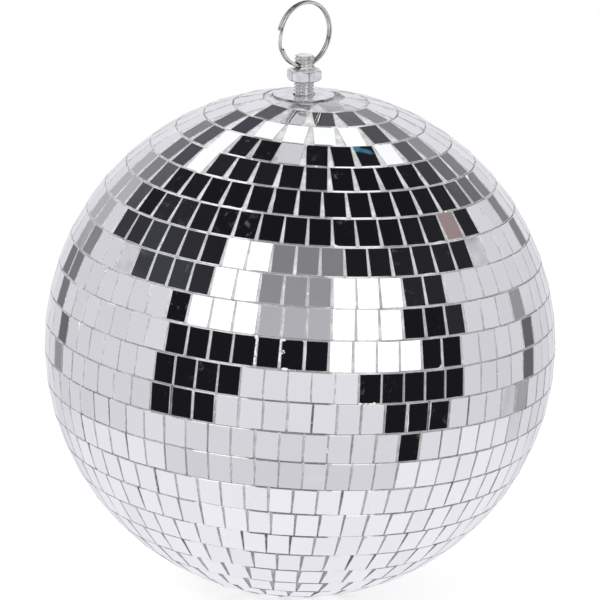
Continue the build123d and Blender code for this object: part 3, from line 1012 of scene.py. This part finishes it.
def build_ring():
    """Flat wire in two turns, which swap sides in a short jog."""
    centre = Vector((0, 0, HOLE.z + RING_RISE * MM))
    axis = HOLE_DIR.cross(UP).normalized()
    flat_x, flat_y = WIRE_HALF_W - WIRE_ROUND, WIRE_HALF_T - WIRE_ROUND
    section = []
    for x, y, first in ((flat_x, flat_y, 0), (-flat_x, flat_y, 90),
                        (-flat_x, -flat_y, 180), (flat_x, -flat_y, 270)):
        for i in range(5):
            a = math.radians(first + 22.5 * i)
            section.append((x + WIRE_ROUND * math.cos(a), y + WIRE_ROUND * math.sin(a)))
    start, end = math.radians(WIRE_START), math.radians(WIRE_END)
    verts = []
    for j in range(RING_STEPS + 1):
        along = start + (end - start) * j / RING_STEPS
        deg = math.degrees(along)
        jog = min(1.0, max(0.0, (deg - 342) / 36))
        # the ends stand a little off the other turn
        near_start = max(0.0, 1 - (deg - WIRE_START) / 45) ** 2
        near_end = max(0.0, 1 - (WIRE_END - deg) / 75) ** 2
        offset = (TURN_OFFSET - 2 * TURN_OFFSET * (jog * jog * (3 - 2 * jog))
                  + (0.16 * near_start - 0.42 * near_end))
        shrink = 0.86 if j in (0, RING_STEPS) else 1.0
        radius = RING_RADIUS + 0.03 * math.sin(along * 1.5) - 0.10 * near_start + 0.12 * near_end
        angle = math.radians(184) + along
        out = HOLE_DIR * math.cos(angle) + UP * math.sin(angle)
        verts += [centre + (out * (radius + x * shrink) + axis * (offset + y * shrink)) * MM
                  for x, y in section]
    faces = tube_faces(RING_STEPS + 1, len(section))
    ring = new_object("split_ring_coil", verts, faces, [M_RING])
    fix_normals(ring, 40)
    register(ring, "ring", "split_ring")


# ---------------------------------------------------------------- all the pieces
for i, (name, row) in enumerate(zip(COURSES, TILES)):
    tile_piece("mirror_course_%02d" % (i + 1), row, name, seed=900 + i)
tile_piece("mirror_pole_tiles", POLE, "pole_tiles_bottom", seed=990)
build_joints()
build_beads()
build_washer()
build_bed()
build_bolt()
build_nut()
build_ring()

# CAD nodes that keep their shape
for node, mat in (("tile_adhesive", M_COAT), ("core_upper_half", M_CORE),
                  ("core_lower_half", M_CORE), ("seam_glue_bead", M_SEAM),
                  ("inner_washer", M_INNER)):
    ob = NODES[node]
    if not ob.material_slots:
        ob.data.materials.append(mat)
    for slot in ob.material_slots:
        slot.material = mat


# ------------------------------------------------------------------- the studio
def build_floor():
    bm = bmesh.new()
    bmesh.ops.create_circle(bm, cap_ends=True, radius=0.62, segments=96)
    mesh = bpy.data.meshes.new("floor")
    bm.to_mesh(mesh)
    bm.free()
    floor = bpy.data.objects.new("floor", mesh)
    floor.location = (0, 0, cad_box[0].z - 0.0002)
    bpy.context.scene.collection.objects.link(floor)
    net = Surface("floor_paper")
    camera_ray = net.new("LightPath").outputs["Is Camera Ray"]
    camera_glow = 0.66
    mesh.materials.append(net.finish({
        "Base Color": tint(0.50),
        "Roughness": 0.9,
        "Emission Color": tint(1.0),
        "Emission Strength": net.times(camera_ray, camera_glow)}))
    floor.visible_glossy = False


# What the mirrors see, in degrees: azimuth from, to, elevation from, to, then brightness
# or colour, then softness of the edges. Azimuth 0 is the front (-Y), positive to +X.
# Later entries lie over earlier ones.
DARK_CARDS = (
    (-65.6, -36.5, -18, -6, 0.0105, 0.35), (-64.4, -26, -7.5, 24.5, 0.0105, 0.35))
ROOM = (
    # stands and shelves behind
    (-153, -142, 1, 22.5, 0.47, 2.2), (-142.5, -136.5, 6, 22.5, 0.46, 1.8),
    (-135.5, -130.8, 6, 14, 0.25, 1.2), (-147.5, -135.5, -7.5, 3, 0.20, 1.2),
    (-137, -131.8, -15, -7, 0.15, 1.2), (-143.5, -138, -18, -12.5, 0.31, 1.2),
    (116.5, 122, -3, 5, 0.31, 1.0), (118, 130.5, -17.5, -2.5, 0.13, 2.0),
    (111, 122, -25, -17, 0.36, 3.0), (135, 144.5, 18.5, 33, 0.17, 2.0),
    (143.5, 151.0, 2.0, 27, 0.25, 1.5),
    # high patches behind
    (-190, -169, 62.5, 75, 0.67, 2.0), (176, 190, 44, 74, 0.5, 3.0),
    # strip lights behind
    (-173, -155, 48, 54.5, 1.1, 1.5), (-157, -131, 43, 49, 1.1, 1.5),
    (-190, -170, 49, 62, 1.1, 1.5), (132, 146, 46.5, 54, 1.05, 1.5),
    (155, 190, 48.5, 60, 1.05, 1.5), (103, 111, 31.5, 38, (0.33, 0.26, 0.25), 1.2),
    # dark shapes in front and to the right
    (-31, 22, 1.5, 20.5, 0.0105, 1.3), (26, 78, -13.5, 24.5, 0.0105, 1.1),
    (39, 71.5, -26, -12, 0.0105, 1.1), (50, 60, -36, -24, 0.0105, 1.0),
    (74, 81.6, 7.5, 17, 0.026, 0.8),
    # left softbox, graded grey card (None), right softbox
    (-52, -24.5, 19, 56.5, 1.35, 0.9), (-24.5, 25, 20, 56.5, None, 1.2),
    (16.5, 54.5, 3.5, 43, 1.35, 0.9))
CRISP_SPOTS = (
    (-190, -174.8, 28.5, 47, 0.60, 0.4), (-186, -178.6, 39, 47, 1.0, 0.2),
    (141.72, 145, 56.5, 60.5, (0.06, 0.19, 0.30), 0.16))


def room_tone(value):
    """A neutral that leans violet in the mid tones and blue in the darks."""
    if isinstance(value, tuple):
        return value + (1.0,)
    if value < 0.08:
        return tint(value, red=0.98, green=0.98, blue=1.2)
    if value > 1.0:
        return tint(value)
    return tint(value, red=0.995, green=0.975, blue=1.03)


def build_world():
    """Plain white light, with the room seen by glossy rays only."""
    world = bpy.data.worlds.new("studio")
    bpy.context.scene.world = world
    world.use_nodes = True
    net = Net(world.node_tree)
    net.tree.nodes.clear()
    view = net.new("TexCoord").outputs["Generated"]
    x, y, z = net.split(view)
    degrees = 57.29578
    true_az = net.times(net.math("ARCTAN2", x, net.times(y, -1.0)), degrees)
    true_el = net.times(net.math("ARCSINE", z), degrees)
    # uneven directions, so that most edges waver a little
    wobble_az = net.noise(view, scale=3.0)
    wobble_el = net.noise(net.mapping(view, loc=(4, 2, 7)), scale=3.0)
    az = net.plus(true_az, net.ramp(wobble_az, over=(0.2, 0.8), to=(-1.6, 1.6), kind="LINEAR"))
    el = net.plus(true_el, net.ramp(wobble_el, over=(0.2, 0.8), to=(-1.2, 1.2), kind="LINEAR"))

    def shade(angle, over, low, high):
        return net.mix(net.ramp(angle, over), room_tone(low), room_tone(high))

    def span(angle, low, high, soft):
        return net.times(net.ramp(angle, over=(low - soft, low + soft)),
                         net.fall(angle, over=(high - soft, high + soft)))

    def paint(col, windows, across, height, soft_height=None):
        for az0, az1, el0, el1, value, soft in windows:
            mask = net.times(span(across, az0, az1, soft),
                             span(height, el0, el1, soft_height or soft))
            col = net.mix(mask, col, card if value is None else room_tone(value))
        return col

    # table and walls, by height and by side
    side = net.math("ABSOLUTE", az)
    right_side = net.ramp(az, over=(-10, 10))
    front_low = shade(el, over=(-44, -12), low=0.69, high=0.79)
    side_low = shade(el, over=(-34, -17), low=0.885, high=0.70)
    col = net.mix(net.ramp(side, over=(58, 84)), front_low, side_low)
    floor_edge = net.ramp(az, over=(48, 60), to=(-49.0, -42.5))
    above_floor = net.ramp(net.math("SUBTRACT", el, floor_edge), over=(-2, 2))
    col = net.mix(above_floor, room_tone(0.90), col)
    walls = shade(side, over=(140, 168), low=0.70, high=0.81)
    wall_mask = net.times(net.ramp(el, over=(-28, -18)), net.ramp(side, over=(66, 84)))
    col = net.mix(wall_mask, col, walls)
    # the dark ceiling
    ceiling_left = net.mix(net.ramp(az, over=(-112, -104)),
                           shade(el, over=(24, 35), low=0.046, high=0.016),
                           shade(el, over=(30, 58), low=0.052, high=0.011))
    ceiling_right = shade(el, over=(30, 58), low=0.022, high=0.010)
    back_left = shade(el, over=(22, 42), low=0.27, high=0.062)
    back_right = shade(el, over=(24, 45), low=0.34, high=0.085)
    ceiling_back = net.mix(net.ramp(el, over=(44, 60)),
                           net.mix(right_side, back_left, back_right), room_tone(0.012))
    ceiling = net.mix(net.ramp(az, over=(-70, -50)), ceiling_left, ceiling_right)
    back_mask = net.mix(right_side, net.ramp(side, over=(127, 136)),
                        net.ramp(side, over=(124, 140)))
    ceiling = net.mix(back_mask, ceiling, ceiling_back)
    ceiling_edge = net.plus(net.ramp(side, over=(163, 170), to=(22.4, 27.5)),
                            net.ramp(az, over=(-116, -108), to=(0.0, 1.4)))
    above_edge = net.ramp(net.math("SUBTRACT", el, ceiling_edge), over=(-1.2, 1.2))
    col = net.mix(above_edge, col, ceiling)
    card = shade(el, over=(21, 49), low=0.47, high=0.235)
    col = paint(col, DARK_CARDS, true_az, true_el, soft_height=0.8)
    col = paint(col, ROOM, az, el)
    col = paint(col, CRISP_SPOTS, true_az, true_el)

    glossy = net.new("LightPath").outputs["Is Glossy Ray"]
    room = net.new("Background", {"Color": col}).outputs[0]
    plain = net.new("Background", {"Color": tint(1.0)}).outputs[0]
    both = net.new("MixShader", {0: glossy, 1: plain, 2: room}).outputs[0]
    net.new("OutputWorld", {"Surface": both})
    world.cycles.sampling_method = "NONE"


def build_lamp():
    light = bpy.data.lights.new("soft_key", "AREA")
    light.shape = "RECTANGLE"
    light.size, light.size_y = 1.2, 0.9
    light.energy = 9.0
    lamp = bpy.data.objects.new("soft_key", light)
    lamp.location = CENTRE + Vector((-0.75, -1.1, 1.25))
    lamp.rotation_mode = "QUATERNION"
    lamp.rotation_quaternion = (lamp.location - CENTRE).to_track_quat("Z", "Y")
    lamp.visible_glossy = False
    bpy.context.scene.collection.objects.link(lamp)


def build_camera():
    """Long lens from the front, looking a little down."""
    pitch, roll = math.radians(16.0), math.radians(0.9)
    distance, aim_up, aim_right = 2.0, 0.01646, -0.00026
    back = Vector((0, -math.cos(pitch), math.sin(pitch)))
    view_up = Vector((0, math.sin(pitch), math.cos(pitch)))
    data = bpy.data.cameras.new("camera")
    data.lens = 306.2
    data.sensor_width = 36.0
    data.clip_start, data.clip_end = 0.05, 20
    camera = bpy.data.objects.new("camera", data)
    bpy.context.scene.collection.objects.link(camera)
    place = CENTRE + back * distance
    target = CENTRE + view_up * aim_up + Vector((aim_right, 0, 0))
    camera.location = place
    camera.rotation_mode = "QUATERNION"
    aim = (place - target).to_track_quat("Z", "Y")
    camera.rotation_quaternion = aim @ Matrix.Rotation(roll, 4, "Z").to_quaternion()
    bpy.context.scene.camera = camera


build_floor()
build_world()
build_lamp()
build_camera()
view_settings = bpy.context.scene.view_settings
view_settings.view_transform = "Standard"
view_settings.look = "None"
